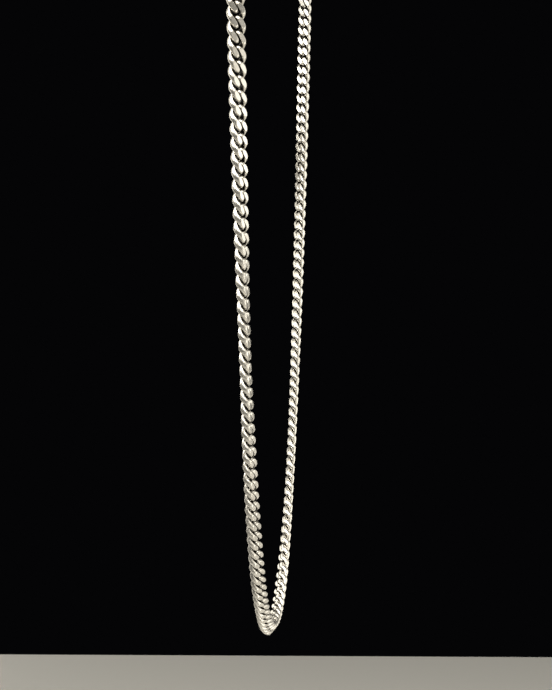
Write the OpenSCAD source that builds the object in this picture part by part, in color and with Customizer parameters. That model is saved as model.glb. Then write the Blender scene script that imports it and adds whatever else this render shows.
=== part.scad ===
// Cuban link chain: a silver curb chain worn as a necklace, hanging as a whole loop.
// X runs across the loop, Y is its depth and +Z is up. The origin is the inner side
// of the loop's top, where a neck or a peg carries it.

/* [Link] */
// Distance from one link to the next
link_pitch = 2.55; // [2.52:0.01:2.58]
// Middle of the wire, from the link's middle to its end
link_reach = 2.03; // [2.02:0.01:2.04]
// Middle of the wire, from the link's middle to its side
link_half_width = 1.35; // [1.33:0.01:1.36]
// Turn of each end of a link out of its flat plane, in degrees
link_twist = 57; // [55:1:58]
// Thickness across the two cut faces
face_thickness = 1.8; // [1.7:0.05:2]
// Outer radius of the wire at the sides, along the link's plane
side_radius = 0.645; // [0.6:0.005:0.65]
// Outer radius of the wire at the sides, across the link's plane
side_depth = 0.575; // [0.5:0.005:0.58]
// Outer radius of the wire at the ends, along the chain
end_radius = 0.435; // [0.4:0.005:0.44]
// Outer radius of the wire at the ends, across the chain
end_depth = 0.515; // [0.45:0.005:0.52]

/* [Loop] */
// Radius of the hanging curve at its lowest point
hang_radius = 25; // [24:0.5:26]
// Length of each hanging strand, up to where the round top begins
strand_length = 167; // [166:0.5:168]

/* [Clasp] */
// Length of the clasp's body
clasp_length = 11.8; // [11:0.1:12.2]
// Width of the clasp's body
clasp_width = 3.6; // [3.4:0.1:4]
// Thickness of the clasp's body
clasp_thickness = 2.6; // [2.2:0.1:2.8]

/* [Hidden] */

silver = [0.87, 0.86, 0.83];

// Link: how square its oval is and how fast the twist comes on towards its ends
oval_power = 0.81;
twist_early = 0.65;
around = 10;
wire_sides = 5;
wire_start = 36;

// Whole loop: links either side of the lowest one, and where they stand on the curve
front_near = -60;
front_far = 65;
clasp_link = 107;
first_offset = -0.2;
clear = 0.12;

// Turn of the links' faces along the chain
// [links from the lowest point, degrees from flat on the neck]
TURN = [
    [-108, 0],
    [-80, 0],
    [-66, 9],
    [-60, 26],
    [-54, 47],
    [-49, 61],
    [-43, 73],
    [-38, 83],
    [-33, 86],
    [-28, 75],
    [-20, 63],
    [-14, 54],
    [0, 52],
    [7, 58],
    [12, 70],
    [17, 77],
    [23, 77],
    [31, 70],
    [39, 61],
    [47, 51],
    [55, 34],
    [60, 23],
    [66, 13],
    [80, 3],
    [108, 0]
];

function unit(v) = v / norm(v);
function signed_power(v, e) = sign(v) * pow(abs(v), e);

// The hanging curve, and the round top that joins its two strands
strand_x = hang_radius * ln(strand_length / hang_radius + sqrt(1 + pow(strand_length / hang_radius, 2)));
strand_z = sqrt(pow(hang_radius, 2) + pow(strand_length, 2)) - hang_radius;
strand_tilt = atan(strand_length / hang_radius);
top_radius = strand_x / sin(strand_tilt);
top_z = strand_z + top_radius * (1 + cos(strand_tilt));
lift = clasp_thickness / 2 - top_z;

function tilt_at(u) = u <= strand_length
    ? atan(u / hang_radius)
    : strand_tilt + (u - strand_length) / top_radius * 180 / PI;
function x_at(u) = u <= strand_length
    ? hang_radius * ln(u / hang_radius + sqrt(1 + pow(u / hang_radius, 2)))
    : top_radius * sin(tilt_at(u));
function z_at(u) = u <= strand_length
    ? sqrt(pow(hang_radius, 2) + pow(u, 2)) - hang_radius
    : strand_z + top_radius * (cos(strand_tilt) - cos(tilt_at(u)));

// Place and directions at a length s from the lowest point, positive up the far strand
function side_of(s) = s < 0 ? -1 : 1;
function place_at(s) = [side_of(s) * x_at(abs(s)), 0, z_at(abs(s)) + lift];
function along_at(s) = [cos(tilt_at(abs(s))), 0, side_of(s) * sin(tilt_at(abs(s)))];
function inward_at(s) = cross(along_at(s), [0, 1, 0]);
function face_at(s) =
    let (turn = lookup(s / link_pitch, TURN))
    cos(turn) * inward_at(s) + [0, sin(turn), 0];

// Points given along the chain, across it and out of its face, set on the loop
function set_on_loop(points, s) =
    let (o = place_at(s), t = along_at(s), n = face_at(s), w = cross(n, t))
    [for (p = points) o + p[0] * t + p[1] * w + p[2] * n];

// One link about its own middle: a squared oval of wire whose ends are turned
// opposite ways out of its plane, pressed flat on both faces
function ring_at(a) =
    let (
        share = (1 - twist_early) * cos(a) + twist_early * sin(90 * cos(a)),
        turn = -link_twist * share,
        out = link_half_width * signed_power(sin(a), oval_power)
    )
    [link_reach * signed_power(cos(a), oval_power), out * cos(turn), out * sin(turn)];
function wire_at(a) =
    let (
        c = ring_at(a),
        t = unit(ring_at(a + 1) - ring_at(a - 1)),
        outer = [c[0] / 2, c[1], c[2]],
        n = unit(outer - (outer * t) * t),
        b = cross(t, n),
        ends = pow(cos(a), 2),
        radius = side_radius + (end_radius - side_radius) * ends,
        depth = side_depth + (end_depth - side_depth) * ends
    )
    [for (j = [0 : wire_sides - 1])
        let (
            v = wire_start + j * 360 / wire_sides,
            p = c + radius * cos(v) * n + depth * sin(v) * b
        )
        [p[0], p[1], max(-face_thickness / 2, min(face_thickness / 2, p[2]))]];
link_points = [for (i = [0 : around - 1]) each wire_at(i * 360 / around)];
link_size = around * wire_sides;
function wire_point(i, j) = (i % around) * wire_sides + j % wire_sides;
link_faces = [for (i = [0 : around - 1], j = [0 : wire_sides - 1]) each [
    [wire_point(i, j), wire_point(i + 1, j + 1), wire_point(i, j + 1)],
    [wire_point(i, j), wire_point(i + 1, j), wire_point(i + 1, j + 1)]
]];
link_half_length = max([for (p = link_points) p[0]]);
link_half_breadth = max([for (p = link_points) p[1]]);

function link_s(k) = (k + first_offset) * link_pitch;

// A run of links is one list of points, in which each link is a shell of its own
module links(first, last) {
    points = [for (k = [first : last]) each set_on_loop(link_points, link_s(k))];
    faces = [for (k = [0 : last - first], f = link_faces) [for (v = f) v + k * link_size]];
    polyhedron(points = points, faces = faces, convexity = 10);
}

// The hidden stretch: a tube of the links' outer form, with a ring every two links,
// a little deeper because the ends of straight links stand out of the curve
link_bow = 0.06;
tube_half_width = link_half_breadth;
tube_corner = 0.55;
tube_half_depth = face_thickness / 2 + link_bow;
tube_section = [
    [tube_half_width, tube_half_depth - tube_corner],
    [tube_half_width - tube_corner, tube_half_depth],
    [-tube_half_width + tube_corner, tube_half_depth],
    [-tube_half_width, tube_half_depth - tube_corner],
    [-tube_half_width, -tube_half_depth + tube_corner],
    [-tube_half_width + tube_corner, -tube_half_depth],
    [tube_half_width - tube_corner, -tube_half_depth],
    [tube_half_width, -tube_half_depth + tube_corner]
];
tube_sides = len(tube_section);

module tube(from, to) {
    rings = round((to - from) / (2 * link_pitch));
    section = [for (p = tube_section) [0, p[0], p[1]]];
    points = [for (i = [0 : rings]) each set_on_loop(section, from + (to - from) * i / rings)];
    walls = [for (i = [0 : rings - 1], j = [0 : tube_sides - 1])
        let (a = i * tube_sides + j, b = i * tube_sides + (j + 1) % tube_sides)
        each [[a, b + tube_sides, b], [a, a + tube_sides, b + tube_sides]]];
    low_end = [for (j = [0 : tube_sides - 1]) j];
    high_end = [for (j = [tube_sides - 1 : -1 : 0]) rings * tube_sides + j];
    polyhedron(points = points, faces = concat(walls, [low_end, high_end]), convexity = 4);
}

module chain_front() {
    color(silver) links(front_near, front_far);
}

module chain_back() {
    reach = link_half_length + clear;
    color(silver) {
        tube(link_s(front_far) + reach, link_s(clasp_link) - reach);
        tube(link_s(-clasp_link) + reach, link_s(front_near) - reach);
    }
}

// Clasp: a plain box across the loop's top, resting on the mount, with the chain's
// end link fixed in each end, so it stands midway between these two
clasp_x = -first_offset * link_pitch;

module clasp_outline(length, width) {
    corner = width / 4;
    square([length, width - 2 * corner], center = true);
    square([length - 2 * corner, width], center = true);
    for (x = [-1, 1], y = [-1, 1]) {
        translate([x * (length / 2 - corner), y * (width / 2 - corner)]) circle(r = corner, $fn = 24);
    }
}

module clasp_body() {
    translate([clasp_x, 0, clasp_thickness / 2]) {
        intersection() {
            rotate([90, 0, 0]) {
                linear_extrude(clasp_width, center = true) clasp_outline(clasp_length, clasp_thickness);
            }
            linear_extrude(clasp_thickness, center = true) clasp_outline(clasp_length, clasp_width);
        }
    }
}

module clasp() {
    color(silver) {
        clasp_body();
        links(clasp_link, clasp_link);
        links(-clasp_link, -clasp_link);
    }
}

chain_front();
chain_back();
clasp();
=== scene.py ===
import math

import bmesh
import bpy
import numpy as np
from mathutils import Matrix, Vector
from mathutils.bvhtree import BVHTree


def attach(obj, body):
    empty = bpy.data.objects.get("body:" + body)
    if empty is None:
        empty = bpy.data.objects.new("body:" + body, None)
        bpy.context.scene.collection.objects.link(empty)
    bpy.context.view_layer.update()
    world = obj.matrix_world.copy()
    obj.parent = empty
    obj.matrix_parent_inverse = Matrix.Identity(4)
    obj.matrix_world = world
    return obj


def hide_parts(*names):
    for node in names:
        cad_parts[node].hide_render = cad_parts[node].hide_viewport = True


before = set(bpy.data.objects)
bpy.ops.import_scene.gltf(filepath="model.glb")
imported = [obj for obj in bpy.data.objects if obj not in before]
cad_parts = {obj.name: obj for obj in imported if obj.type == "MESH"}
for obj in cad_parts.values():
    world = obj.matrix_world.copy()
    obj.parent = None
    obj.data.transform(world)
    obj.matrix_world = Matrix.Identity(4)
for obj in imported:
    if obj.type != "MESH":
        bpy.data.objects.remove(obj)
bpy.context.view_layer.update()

# A silver cuban link chain, worn as a necklace and hanging as one loop. The packed
# frame has plain links and a tube for the stretch out of sight; here every link is
# smooth, pressed flat on both faces and polished, and the clasp is rounded over.
mm = 0.001

# The loop hangs in the X-Z plane with its mount at the origin
loop = {
    "pitch": 2.55 * mm,          # one link to the next
    "hangRadius": 25 * mm,       # of the curve at its lowest point
    "strandLength": 167 * mm,    # each strand, up to where the round top begins
    "mountRise": 1.3 * mm,       # from the mount up to the middle of the chain
    "firstOffset": -0.2,         # where the lowest link stands, in links
    "faceTurn": [                # links from the lowest point, degrees from flat on the neck
        (-108, 0), (-80, 0), (-66, 9), (-60, 26), (-54, 47), (-49, 61), (-43, 73), (-38, 83),
        (-33, 86), (-28, 75), (-20, 63), (-14, 54), (0, 52), (7, 58), (12, 70), (17, 77),
        (23, 77), (31, 70), (39, 61), (47, 51), (55, 34), (60, 23), (66, 13), (80, 3), (108, 0),
    ],
}

# The camera that matches the photograph, measured from the loop's lowest point
view = {
    "focalPixels": 1418,
    "imageHeight": 690,
    "sensor": 36,
    "tiltDown": 6.37,
    "turn": 6.46,
    "roll": 0.3,
    "away": 312.98 * mm,
    "sideways": -0.21 * mm,
    "above": 98.33 * mm,
}


def unit(v):
    return v / np.linalg.norm(v, axis=-1, keepdims=True)


def strandEnd():
    a, s = loop["hangRadius"], loop["strandLength"]
    return a * math.asinh(s / a), math.hypot(a, s) - a, math.atan(s / a)


def topHeight():
    x, z, tilt = strandEnd()
    return z + x / math.sin(tilt) * (1 + math.cos(tilt))


lowestPoint = loop["mountRise"] - topHeight()


# Place and direction of the chain's middle line at a length from the lowest point
def pathAt(s):
    a, side, u = loop["hangRadius"], (-1 if s < 0 else 1), abs(s)
    endX, endZ, endTilt = strandEnd()
    if u <= loop["strandLength"]:
        x, z, tilt = a * math.asinh(u / a), math.hypot(a, u) - a, math.atan(u / a)
    else:
        radius = endX / math.sin(endTilt)
        tilt = endTilt + (u - loop["strandLength"]) / radius
        x = radius * math.sin(tilt)
        z = endZ + radius * (math.cos(endTilt) - math.cos(tilt))
    place = np.array((side * x, 0, z + lowestPoint))
    along = np.array((math.cos(tilt), 0, side * math.sin(tilt)))
    return place, along


def turnAt(links):
    stops = loop["faceTurn"]
    return math.radians(np.interp(links, [p[0] for p in stops], [p[1] for p in stops]))


def makeCamera():
    turn, tilt, roll = (math.radians(view[k]) for k in ("turn", "tiltDown", "roll"))
    ahead = Vector((math.cos(turn), math.sin(turn), 0))
    right = Vector((math.sin(turn), -math.cos(turn), 0))
    up = Vector((0, 0, 1))
    place = up * (lowestPoint + view["above"]) - right * view["sideways"] - ahead * view["away"]
    forward = ahead * math.cos(tilt) - up * math.sin(tilt)
    level = ahead * math.sin(tilt) + up * math.cos(tilt)
    across = right * math.cos(roll) + level * math.sin(roll)
    upward = level * math.cos(roll) - right * math.sin(roll)
    data = bpy.data.cameras.new("photoCamera")
    data.sensor_width = view["sensor"]
    data.lens = view["focalPixels"] * view["sensor"] / view["imageHeight"]
    data.clip_start, data.clip_end = 0.01, 20
    camera = bpy.data.objects.new("photoCamera", data)
    bpy.context.scene.collection.objects.link(camera)
    camera.matrix_world = Matrix((across, upward, -forward)).transposed().to_4x4()
    camera.matrix_world.translation = place
    bpy.context.scene.camera = camera


makeCamera()

# A link about its own middle: X along the chain, Y across its face, Z out of its face
link = {
    "reach": 1.99 * mm,          # middle of the wire to the link's end
    "halfWidth": 1.256 * mm,     # middle of the wire to the link's side
    "twist": 55,                 # turn of each end out of the link's plane
    "twistEarly": 0.66,
    "ovalPower": 1.05,
    "thickness": 1.8 * mm,       # across the two pressed faces
    "sideWire": (0.434 * mm, 0.591 * mm),
    "endWire": (0.473 * mm, 0.497 * mm),
    "cutEdge": 0.10,             # half the rounding where a pressed face ends, in radians
    "leastCut": 0.3,
    "stations": 44,
    "sideSteps": 5,
    "slopeStep": 0.03,           # angle either side that gives the wire's direction
    "lengthSamples": 2001,       # points that the wire's length is measured over
}


def signedPower(v, power):
    return np.sign(v) * np.abs(v) ** power


def wireMiddle(angles):
    c, s = np.cos(angles), np.sin(angles)
    early = link["twistEarly"]
    share = (1 - early) * c + early * np.sin(np.pi / 2 * c)
    turn = -math.radians(link["twist"]) * share
    out = link["halfWidth"] * signedPower(s, link["ovalPower"])
    along = link["reach"] * signedPower(c, link["ovalPower"])
    return np.stack([along, out * np.cos(turn), out * np.sin(turn)], -1)


# Stations at even steps along the wire, so that its bends are as round as its sides
def evenAngles(count):
    fine = np.linspace(0, 2 * np.pi, link["lengthSamples"])
    middle = wireMiddle(fine)
    length = np.concatenate([[0], np.cumsum(np.linalg.norm(np.diff(middle, axis=0), axis=1))])
    return np.interp(np.arange(count) / count * length[-1], length, fine)


# Points round one section: a run over each pressed face and steps down each side
def sectionAngles(top, up, down):
    edge, steps = link["cutEdge"], link["sideSteps"]
    angles = [(top - up - edge, 0), (top - up + edge, 1)]
    angles += [(top + up - edge, 1), (top + up + edge, 0)]
    start, stop = top + up + edge, top + math.pi - down - edge
    angles += [(start + (stop - start) * k / (steps + 1), 0) for k in range(1, steps + 1)]
    angles += [(stop, 0), (stop + 2 * edge, -1), (top + math.pi + down - edge, -1)]
    start, stop = top + math.pi + down + edge, top + 2 * math.pi - up - edge
    angles += [(start, 0)]
    angles += [(start + (stop - start) * k / (steps + 1), 0) for k in range(1, steps + 1)]
    return angles


def makeLinkForm():
    angles = evenAngles(link["stations"])
    middle, step, half = wireMiddle(angles), link["slopeStep"], link["thickness"] / 2
    along = unit(wireMiddle(angles + step) - wireMiddle(angles - step))
    outer = middle * np.array([0.5, 1, 1])
    outward = unit(outer - (outer * along).sum(1)[:, None] * along)
    across = np.cross(along, outward)
    ends = np.cos(angles) ** 2
    points, normals, flats = [], [], []
    for i in range(len(angles)):
        ra = link["sideWire"][0] * (1 - ends[i]) + link["endWire"][0] * ends[i]
        rb = link["sideWire"][1] * (1 - ends[i]) + link["endWire"][1] * ends[i]
        rise = math.hypot(ra * outward[i, 2], rb * across[i, 2])
        top = math.atan2(rb * across[i, 2], ra * outward[i, 2])
        reach = [(half - middle[i, 2]) / rise, (half + middle[i, 2]) / rise]
        up, down = (max(link["leastCut"], math.acos(min(1, max(-1, r)))) for r in reach)
        ring = sectionAngles(top, up, down)
        for angle, flat in ring:
            c, s = math.cos(angle), math.sin(angle)
            point = middle[i] + ra * c * outward[i] + rb * s * across[i]
            normal = unit(c / ra * outward[i] + s / rb * across[i])
            cut = abs(point[2]) > half
            if cut:
                point[2] = math.copysign(half, point[2])
            if cut and flat:
                normal = np.array([0, 0, float(flat)])
            points.append(point)
            normals.append(normal)
            flats.append(float(cut and flat != 0))
    n, around = len(angles), len(ring)
    faces = [(i * around + j, (i + 1) % n * around + j,
              (i + 1) % n * around + (j + 1) % around, i * around + (j + 1) % around)
             for i in range(n) for j in range(around)]
    points, faces = np.array(points), np.array(faces)
    a, b, c, d = (points[faces[:, k]] for k in range(4))
    volume = sum(np.einsum("ij,ij->i", a, np.cross(p, q)).sum() for p, q in ((b, c), (c, d)))
    if volume < 0:
        faces = faces[:, ::-1]
    return points, np.array(normals), faces, np.array(flats)


hollow = {
    "rays": 64,
    "reach": 3.5 * mm,
    "lift": 0.02 * mm,           # of a ray's start off the wire
    "neighbours": 2,             # links each side that can shut a point in
}


# How shut in each point of a link is by its own wire and its neighbours
def shutIn(points, normals, faces):
    pitch, each = loop["pitch"], hollow["neighbours"]
    row = [points + np.array([k * pitch, 0, 0]) for k in range(-each, each + 1)]
    polygons = [[int(v) + k * len(points) for v in f] for k in range(len(row)) for f in faces]
    tree = BVHTree.FromPolygons(np.concatenate(row).tolist(), polygons)
    rays, golden = hollow["rays"], math.pi * (3 - math.sqrt(5))
    heights = 1 - (np.arange(rays) + 0.5) / rays
    rounds = np.sqrt(1 - heights ** 2)
    turns = np.arange(rays) * golden
    shade = []
    for point, normal in zip(points, normals):
        side = unit(np.cross(normal, [1, 0, 0] if abs(normal[0]) < 0.8 else [0, 1, 0]))
        other = np.cross(normal, side)
        start, hit = Vector(point + normal * hollow["lift"]), 0
        for h, r, t in zip(heights, rounds, turns):
            ray = normal * h + (side * math.cos(t) + other * math.sin(t)) * r
            if tree.ray_cast(start, Vector(ray), hollow["reach"])[0] is not None:
                hit += h
        shade.append(hit / heights.sum())
    return np.array(shade)


linkPoints, linkNormals, linkFaces, linkFlats = makeLinkForm()
linkShade = shutIn(linkPoints, linkNormals, linkFaces)
print("link form:", len(linkFaces) * 2, "triangles, size in mm", np.ptp(linkPoints, axis=0) / mm)


def setOnLoop(points, normals, links):
    place, along = pathAt(links * loop["pitch"])
    turn = turnAt(links)
    inward = np.cross(along, [0, 1, 0])
    face = math.cos(turn) * inward + math.sin(turn) * np.array([0, 1, 0])
    axes = np.stack([along, np.cross(face, along), face], 1)
    return points @ axes.T + place, normals @ axes.T


# One object from a run of links, with what the finish needs kept on its points
def linkRun(name, numbers, seed):
    rng = np.random.default_rng(seed)
    places, normals, faces = [], [], []
    for i, k in enumerate(numbers):
        p, n = setOnLoop(linkPoints, linkNormals, k + loop["firstOffset"])
        places.append(p)
        normals.append(n)
        faces.append(linkFaces + i * len(linkPoints))
    tone = np.repeat(rng.random(len(numbers)), len(linkPoints))
    return meshObject(name, np.concatenate(places), np.concatenate(faces).tolist(),
                      np.concatenate(normals), {
                          "shutIn": np.tile(linkShade, len(numbers)),
                          "pressed": np.tile(linkFlats, len(numbers)),
                          "linkTone": tone,
                      })


def meshObject(name, places, faces, normals, marks):
    mesh = bpy.data.meshes.new(name)
    mesh.from_pydata(places.tolist(), [], faces)
    mesh.shade_smooth()
    mesh.normals_split_custom_set_from_vertices(normals.tolist())
    for mark, values in marks.items():
        layer = mesh.attributes.new(mark, "FLOAT", "POINT")
        layer.data.foreach_set("value", values.astype(np.float32))
    piece = bpy.data.objects.new(name, mesh)
    bpy.context.scene.collection.objects.link(piece)
    return piece


clasp = {
    "length": 11.8 * mm,
    "width": 3.6 * mm,
    "thickness": 2.6 * mm,
    "corner": 0.9 * mm,          # of its outline from above
    "edge": 0.62 * mm,           # of its outline along its side
    "endLink": 107,
    "squareness": 0.42,          # power of its section: 1 is an oval, less is squarer
    "around": 48,
    "stretchSteps": 13,
    "endSteps": 9,
}


# The clasp's section grows from its ends as two rounded outlines meet
def claspShape():
    half, power = clasp["length"] / 2, clasp["squareness"]
    corner, edge = clasp["corner"], clasp["edge"]
    turns = np.linspace(math.pi / 2, 0, clasp["endSteps"])
    ends = [half - corner * (1 - math.cos(t)) for t in turns]
    stretch = np.linspace(-half + corner, half - corner, clasp["stretchSteps"])
    stops = sorted({-e for e in ends} | set(ends) | set(stretch))
    points, faces, around = [], [], clasp["around"]
    for x in stops:
        near = max(0, abs(x) - (half - corner)) / corner
        shrink = corner * (1 - math.sqrt(max(0, 1 - near * near)))
        near = max(0, abs(x) - (half - edge)) / edge
        dip = edge * (1 - math.sqrt(max(0, 1 - near * near)))
        w, t = clasp["width"] / 2 - shrink, clasp["thickness"] / 2 - dip
        for k in range(around):
            angle = 2 * math.pi * (k + 0.5) / around
            c, s = math.cos(angle), math.sin(angle)
            points.append((x, w * math.copysign(abs(c) ** power, c),
                           t * math.copysign(abs(s) ** power, s)))
    for i in range(len(stops) - 1):
        for k in range(around):
            a, b = i * around + k, i * around + (k + 1) % around
            faces.append((a, b, b + around, a + around))
    last = (len(stops) - 1) * around
    faces.append(tuple(range(around - 1, -1, -1)))
    faces.append(tuple(last + k for k in range(around)))
    return np.array(points), faces


def makeClasp():
    points, faces = claspShape()
    body = bpy.data.meshes.new("claspForm")
    body.from_pydata(points.tolist(), [], faces)
    form = bmesh.new()
    form.from_mesh(body)
    bmesh.ops.recalc_face_normals(form, faces=form.faces)
    form.normal_update()
    normals = np.array([v.normal for v in form.verts])
    faces = [tuple(v.index for v in f.verts) for f in form.faces]
    form.free()
    places, allNormals, allFaces = [points], [normals], list(faces)
    shade, flats, count = [np.zeros(len(points))], [np.zeros(len(points))], len(points)
    for k in (clasp["endLink"], -clasp["endLink"]):
        p, n = setOnLoop(linkPoints, linkNormals, k + loop["firstOffset"])
        places.append(p)
        allNormals.append(n)
        allFaces += (linkFaces + count).tolist()
        shade.append(linkShade)
        flats.append(linkFlats)
        count += len(p)
    # the body lies across the loop's top, midway between the two end links
    places[0] = points + np.array([-loop["firstOffset"] * loop["pitch"], 0, loop["mountRise"]])
    return meshObject("claspBody", np.concatenate(places), allFaces, np.concatenate(allNormals), {
        "shutIn": np.concatenate(shade),
        "pressed": np.concatenate(flats),
        "linkTone": np.full(count, 0.5),
    })


front = {"near": -60, "far": 65}
frontLinks = linkRun("frontLinks", range(front["near"], front["far"] + 1), 11)
print("front links:", front["far"] - front["near"] + 1)
backNumbers = list(range(front["far"] + 1, clasp["endLink"]))
backNumbers += list(range(1 - clasp["endLink"], front["near"]))
backLinks = linkRun("backLinks", backNumbers, 12)
print("back links:", len(backNumbers))
claspBody = makeClasp()
print("clasp made")

for piece, node in ((frontLinks, "chain_front"), (backLinks, "chain_back"), (claspBody, "clasp")):
    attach(piece, "root")
    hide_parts(node)


# Nodes for the finishes
def addGroup(name, inputs, outputs):
    group = bpy.data.node_groups.new(name, "ShaderNodeTree")
    for label, kind, value in inputs:
        socket = group.interface.new_socket(label, in_out="INPUT", socket_type=kind)
        socket.default_value = value
    for label, kind in outputs:
        group.interface.new_socket(label, in_out="OUTPUT", socket_type=kind)
    return group, group.nodes.new("NodeGroupInput"), group.nodes.new("NodeGroupOutput")


def addMath(tree, operation, a, b=None, clamp=False):
    node = tree.nodes.new("ShaderNodeMath")
    node.operation, node.use_clamp = operation, clamp
    for socket, value in zip(node.inputs, (a, b)):
        if value is None:
            continue
        if isinstance(value, (int, float)):
            socket.default_value = value
        else:
            tree.links.new(value, socket)
    return node.outputs[0]


def addMix(tree, factor, a, b):
    node = tree.nodes.new("ShaderNodeMix")
    node.data_type = "RGBA"
    for socket, value in ((node.inputs[0], factor), (node.inputs[6], a), (node.inputs[7], b)):
        if isinstance(value, (int, float)):
            socket.default_value = value
        elif isinstance(value, tuple):
            socket.default_value = value
        else:
            tree.links.new(value, socket)
    return node.outputs[2]


def addRange(tree, value, low, high, newLow, newHigh):
    node = tree.nodes.new("ShaderNodeMapRange")
    node.interpolation_type = "SMOOTHSTEP"
    tree.links.new(value, node.inputs[0])
    for socket, number in zip(node.inputs[1:5], (low, high, newLow, newHigh)):
        if isinstance(number, (int, float)):
            socket.default_value = number
        else:
            tree.links.new(number, socket)
    return node.outputs[0]


def addNoise(tree, place, scale, detail, roughness=0.5):
    node = tree.nodes.new("ShaderNodeTexNoise")
    tree.links.new(place, node.inputs["Vector"])
    node.inputs["Detail"].default_value = detail
    node.inputs["Roughness"].default_value = roughness
    if isinstance(scale, (int, float)):
        node.inputs["Scale"].default_value = scale
    else:
        tree.links.new(scale, node.inputs["Scale"])
    return node.outputs["Fac"]


def addMark(tree, name):
    node = tree.nodes.new("ShaderNodeAttribute")
    node.attribute_name = name
    return node.outputs["Fac"]


# Painted shade in the hollows, partly old grey tarnish that polishing doesn't reach: the colour
# darkens the more shut in a point is
def shadeAndTarnishGroup():
    group, start, end = addGroup("paintedShadeAndTarnishInHollows", [
        ("Silver", "NodeSocketColor", (0.9, 0.87, 0.8, 1)),
        ("Shade And Tarnish", "NodeSocketColor", (0.2, 0.17, 0.13, 1)),
        ("Shut In", "NodeSocketFloat", 0.0),
        ("Starts At", "NodeSocketFloat", 0.5),
        ("Full At", "NodeSocketFloat", 0.95),
        ("Amount", "NodeSocketFloat", 0.8),
        ("Patch Scale", "NodeSocketFloat", 900.0),
    ], [("Color", "NodeSocketColor"), ("Mask", "NodeSocketFloat")])
    place = group.nodes.new("ShaderNodeTexCoord").outputs["Object"]
    patches = addNoise(group, place, start.outputs["Patch Scale"], 3.0)
    uneven = addMath(group, "MULTIPLY_ADD", patches, 0.25)
    group.links.new(start.outputs["Shut In"], uneven.node.inputs[2])
    lifted = addMath(group, "SUBTRACT", uneven, 0.125)
    mask = addRange(group, lifted, start.outputs["Starts At"], start.outputs["Full At"], 0.0, 1.0)
    mask = addMath(group, "MULTIPLY", mask, start.outputs["Amount"], clamp=True)
    # the silver goes over to a near-black painted shade where a point is shut in, partly tarnish
    color = addMix(group, mask, start.outputs["Silver"], start.outputs["Shade And Tarnish"])
    group.links.new(color, end.inputs["Color"])
    group.links.new(mask, end.inputs["Mask"])
    return group


# Fine crossing scratches and a soft unevenness left by polishing
def polishGroup():
    group, start, end = addGroup("polishMarks", [
        ("Scratch Scale", "NodeSocketFloat", 2600.0),
        ("Wave Scale", "NodeSocketFloat", 700.0),
        ("Wave Share", "NodeSocketFloat", 0.6),
        ("Base Roughness", "NodeSocketFloat", 0.2),
        ("Roughness Change", "NodeSocketFloat", 0.1),
    ], [("Height", "NodeSocketFloat"), ("Roughness", "NodeSocketFloat")])
    place = group.nodes.new("ShaderNodeTexCoord").outputs["Object"]
    scratches = None
    for turn in ((0.3, 0.9, 0.2), (1.2, -0.5, 0.8)):
        mapping = group.nodes.new("ShaderNodeMapping")
        mapping.inputs["Rotation"].default_value = turn
        mapping.inputs["Scale"].default_value = (1.0, 0.06, 1.0)
        group.links.new(place, mapping.inputs["Vector"])
        lines = addNoise(group, mapping.outputs[0], start.outputs["Scratch Scale"], 2.0, 0.7)
        lines = addRange(group, lines, 0.56, 0.72, 0.0, 1.0)
        scratches = lines if scratches is None else addMath(group, "MAXIMUM", scratches, lines)
    waves = addNoise(group, place, start.outputs["Wave Scale"], 2.0)
    lowered = addMath(group, "MULTIPLY", scratches, -0.4)
    raised = addMath(group, "MULTIPLY", waves, start.outputs["Wave Share"])
    height = addMath(group, "ADD", lowered, raised)
    change = addMath(group, "MULTIPLY", scratches, start.outputs["Roughness Change"])
    uneven = addMath(group, "MULTIPLY", waves, start.outputs["Roughness Change"])
    change = addMath(group, "ADD", change, uneven)
    roughness = addMath(group, "ADD", change, start.outputs["Base Roughness"])
    group.links.new(height, end.inputs["Height"])
    group.links.new(roughness, end.inputs["Roughness"])
    return group


paintedShadeAndTarnishInHollows = shadeAndTarnishGroup()
polishMarks = polishGroup()


def setInputs(node, values):
    for label, value in values.items():
        node.inputs[label].default_value = value


def newMaterial(name):
    material = bpy.data.materials.new(name)
    material.use_nodes = True
    tree = material.node_tree
    return material, tree, tree.nodes["Principled BSDF"]


# Silver: two brightnesses of link, painted shade with some tarnish darkening the hollows, a clearer
# shine on the pressed faces
def silverMaterial(name, look):
    material, tree, shader = newMaterial(name)
    shader.inputs["Metallic"].default_value = 1.0
    tone = addMark(tree, "linkTone")
    silver = addMix(tree, tone, look["silverDull"], look["silverBright"])
    # painted shade, partly tarnish, darkens the silver where a point is shut in by the wire and its
    # neighbours
    shadeAndTarnish = tree.nodes.new("ShaderNodeGroup")
    shadeAndTarnish.node_tree = paintedShadeAndTarnishInHollows
    setInputs(shadeAndTarnish, look["shadeAndTarnish"])
    tree.links.new(silver, shadeAndTarnish.inputs["Silver"])
    tree.links.new(addMark(tree, "shutIn"), shadeAndTarnish.inputs["Shut In"])
    tree.links.new(shadeAndTarnish.outputs["Color"], shader.inputs["Base Color"])
    polish = tree.nodes.new("ShaderNodeGroup")
    polish.node_tree = polishMarks
    setInputs(polish, look["polish"])
    dull = addMath(tree, "MULTIPLY", shadeAndTarnish.outputs["Mask"], look["hollowRoughness"])
    roughness = addMath(tree, "ADD", polish.outputs["Roughness"], dull)
    clearer = addMath(tree, "MULTIPLY", addMark(tree, "pressed"), look["pressedShine"])
    roughness = addMath(tree, "SUBTRACT", roughness, clearer, clamp=True)
    tree.links.new(roughness, shader.inputs["Roughness"])
    bump = tree.nodes.new("ShaderNodeBump")
    setInputs(bump, look["bump"])
    tree.links.new(polish.outputs["Height"], bump.inputs["Height"])
    tree.links.new(bump.outputs["Normal"], shader.inputs["Normal"])
    return material


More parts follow.
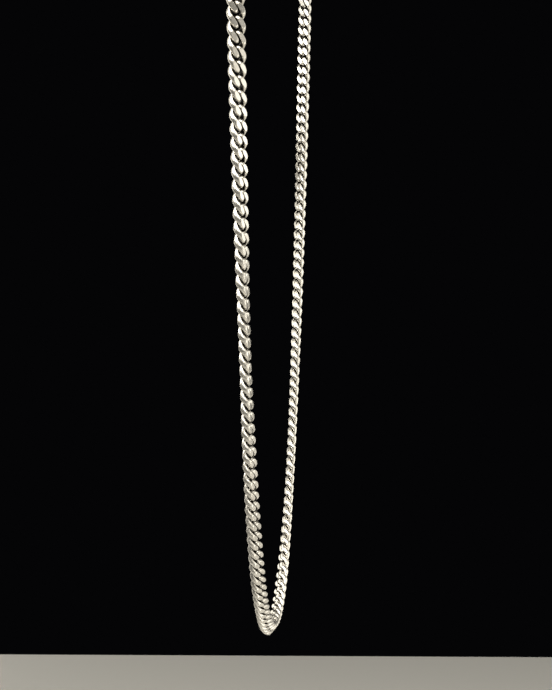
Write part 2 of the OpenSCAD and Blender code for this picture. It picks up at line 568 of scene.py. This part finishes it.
chainLook = {
    "silverBright": (0.93, 0.905, 0.85, 1),
    "silverDull": (0.87, 0.84, 0.78, 1),
    # near-black painted shade for the hollows, partly tarnish, and how shut in a point is where it
    # starts and where it is full
    "shadeAndTarnish": {
        "Shade And Tarnish": (0.022, 0.017, 0.012, 1),
        "Starts At": 0.32,
        "Full At": 0.66,
        "Amount": 1.0,
        "Patch Scale": 900.0,
    },
    "hollowRoughness": 0.25,
    "pressedShine": 0.05,
    "polish": {
        "Scratch Scale": 2600.0,
        "Wave Scale": 900.0,
        "Wave Share": 0.6,
        "Base Roughness": 0.34,
        "Roughness Change": 0.08,
    },
    "bump": {"Strength": 0.25, "Distance": 0.02 * mm},
}
claspLook = dict(chainLook)
claspLook["silverDull"] = (0.9, 0.875, 0.82, 1)
claspLook["polish"] = dict(chainLook["polish"], **{"Base Roughness": 0.26, "Wave Scale": 400.0})

chainSilver = silverMaterial("chainSilver", chainLook)
claspSilver = silverMaterial("claspSilver", claspLook)
for piece, material in ((frontLinks, chainSilver), (backLinks, chainSilver), (claspBody, claspSilver)):
    piece.data.materials.append(material)
print("silver finishes made")

# Studio: a plain pale floor well below the chain, a plain dark backdrop and soft lights
studio = {
    "floorDrop": 330 * mm,       # floor below the chain's lowest point
    "floorHalf": 0.95,
    "floorColor": (0.56, 0.555, 0.54, 1),
    "floorSpeckle": 1500.0,
    "floorSpeckleShade": 0.97,
    "floorRoughness": 0.85,
    "backColor": (0.0015, 0.0015, 0.0018, 1),
    "fillColor": (0.05, 0.05, 0.0475, 1),
    "lightColor": (1.0, 0.952, 0.845),
    # Turn and rise of a light in degrees as seen from the chain, its distance and size in
    # metres, how bright it is, the height it aims at, and how wide it spreads in degrees
    "lights": {
        "rightBelow": {"turn": -113, "rise": -25, "away": 0.4, "size": (0.34, 0.3), "bright": 1.8,
                       "aimHeight": -0.19, "spread": 180},
        "rightBehind": {"turn": -60, "rise": -1, "away": 1.1, "size": (0.75, 0.8), "bright": 1.5,
                        "aimHeight": -0.11, "spread": 180},
        "right": {"turn": -93, "rise": 5, "away": 1.1, "size": (0.8, 0.8), "bright": 1.3,
                  "aimHeight": -0.11, "spread": 180},
        "frontTop": {"turn": -158, "rise": 34, "away": 1.1, "size": (0.75, 0.75), "bright": 1.1,
                     "aimHeight": -0.06, "spread": 70},
        "overCamera": {"turn": 168, "rise": 52, "away": 1.1, "size": (0.75, 0.75), "bright": 1.35,
                       "aimHeight": -0.03, "spread": 60},
        "left": {"turn": 118, "rise": 25, "away": 1.1, "size": (0.7, 0.7), "bright": 0.72,
                 "aimHeight": -0.03, "spread": 50},
        "leftBehind": {"turn": 45, "rise": -2, "away": 1.1, "size": (0.8, 0.8), "bright": 1.5,
                       "aimHeight": -0.09, "spread": 180},
    },
}


def makeFloor():
    form = bmesh.new()
    bmesh.ops.create_grid(form, x_segments=8, y_segments=8, size=studio["floorHalf"])
    mesh = bpy.data.meshes.new("floor")
    form.to_mesh(mesh)
    form.free()
    floor = bpy.data.objects.new("floor", mesh)
    floor.location.z = lowestPoint - studio["floorDrop"]
    floor.rotation_euler.z = math.radians(view["turn"])
    bpy.context.scene.collection.objects.link(floor)
    material, tree, shader = newMaterial("floorPaper")
    place = tree.nodes.new("ShaderNodeTexCoord").outputs["Object"]
    pale = studio["floorColor"]
    speckle = addNoise(tree, place, studio["floorSpeckle"], 2.0)
    darker = tuple(c * studio["floorSpeckleShade"] for c in pale[:3]) + (1,)
    tree.links.new(addMix(tree, speckle, pale, darker), shader.inputs["Base Color"])
    shader.inputs["Roughness"].default_value = studio["floorRoughness"]
    mesh.materials.append(material)


def makeLights():
    for name, lamp in studio["lights"].items():
        turn, rise = math.radians(lamp["turn"]), math.radians(lamp["rise"])
        aim = Vector((0, 0, lamp["aimHeight"]))
        level = math.cos(rise)
        toLamp = Vector((math.cos(turn) * level, math.sin(turn) * level, math.sin(rise)))
        data = bpy.data.lights.new(name, "AREA")
        data.shape = "RECTANGLE"
        data.size, data.size_y = lamp["size"]
        data.energy = lamp["bright"] * math.pi * lamp["size"][0] * lamp["size"][1]
        data.color, data.spread = studio["lightColor"], math.radians(lamp["spread"])
        light = bpy.data.objects.new(name, data)
        light.location = aim + toLamp * lamp["away"]
        light.rotation_mode = "QUATERNION"
        light.rotation_quaternion = (-toLamp).to_track_quat("-Z", "Y")
        bpy.context.scene.collection.objects.link(light)


def makeWorld():
    world = bpy.data.worlds.new("studioAir")
    bpy.context.scene.world = world
    world.use_nodes = True
    tree = world.node_tree
    shown = tree.nodes["Background"]
    shown.inputs["Color"].default_value = studio["backColor"]
    fill = tree.nodes.new("ShaderNodeBackground")
    fill.inputs["Color"].default_value = studio["fillColor"]
    path = tree.nodes.new("ShaderNodeLightPath")
    choose = tree.nodes.new("ShaderNodeMixShader")
    tree.links.new(path.outputs["Is Camera Ray"], choose.inputs[0])
    tree.links.new(fill.outputs[0], choose.inputs[1])
    tree.links.new(shown.outputs[0], choose.inputs[2])
    tree.links.new(choose.outputs[0], tree.nodes["World Output"].inputs["Surface"])


makeFloor()
makeLights()
makeWorld()
bpy.context.scene.view_settings.view_transform = "Standard"
print("studio made")
